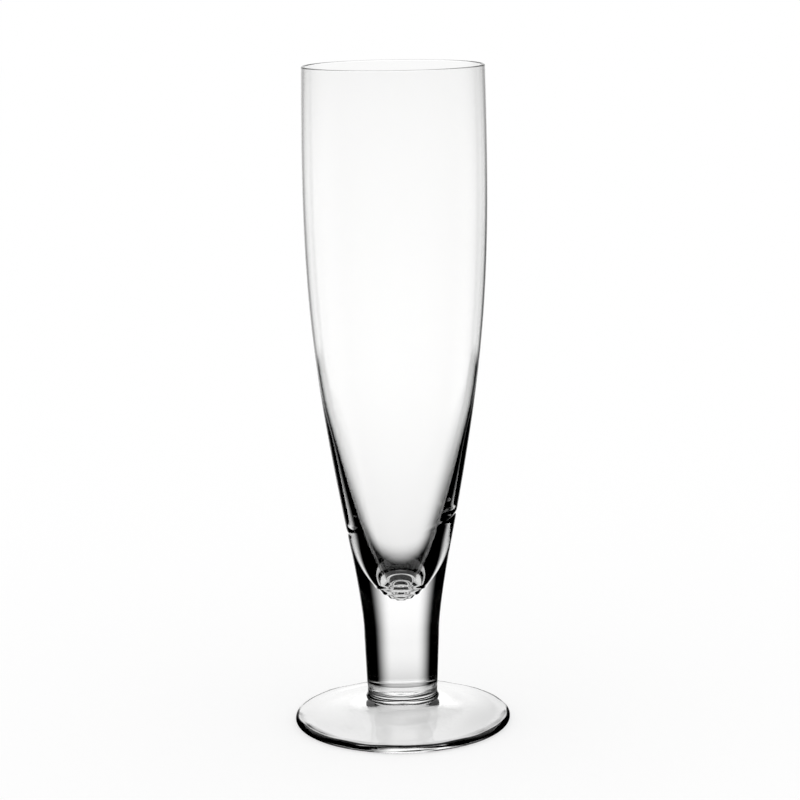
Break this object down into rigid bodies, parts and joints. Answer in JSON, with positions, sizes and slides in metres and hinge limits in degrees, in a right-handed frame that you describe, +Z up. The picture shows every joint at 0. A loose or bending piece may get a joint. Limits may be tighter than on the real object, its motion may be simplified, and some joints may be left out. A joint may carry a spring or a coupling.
{
  "type": "footed beer glass",
  "caption": "Tall, slim beer glass of clear glass with a long tapering bowl, a short solid stem and a wide disc foot.",
  "frame": {"origin": "middle of the circle that the foot stands on", "axes": "+Z up along the glass's axis of revolution, towards the rim"},
  "size_m": [0.079, 0.079, 0.24],
  "materials": {
    "clear_glass": "clear, fire-polished, colourless with a faint green-grey edge"
  },
  "bodies": {
    "root": {"bowl": "clear_glass", "stem": "clear_glass", "button": "clear_glass", "foot": "clear_glass"}
  },
  "joints": []
}
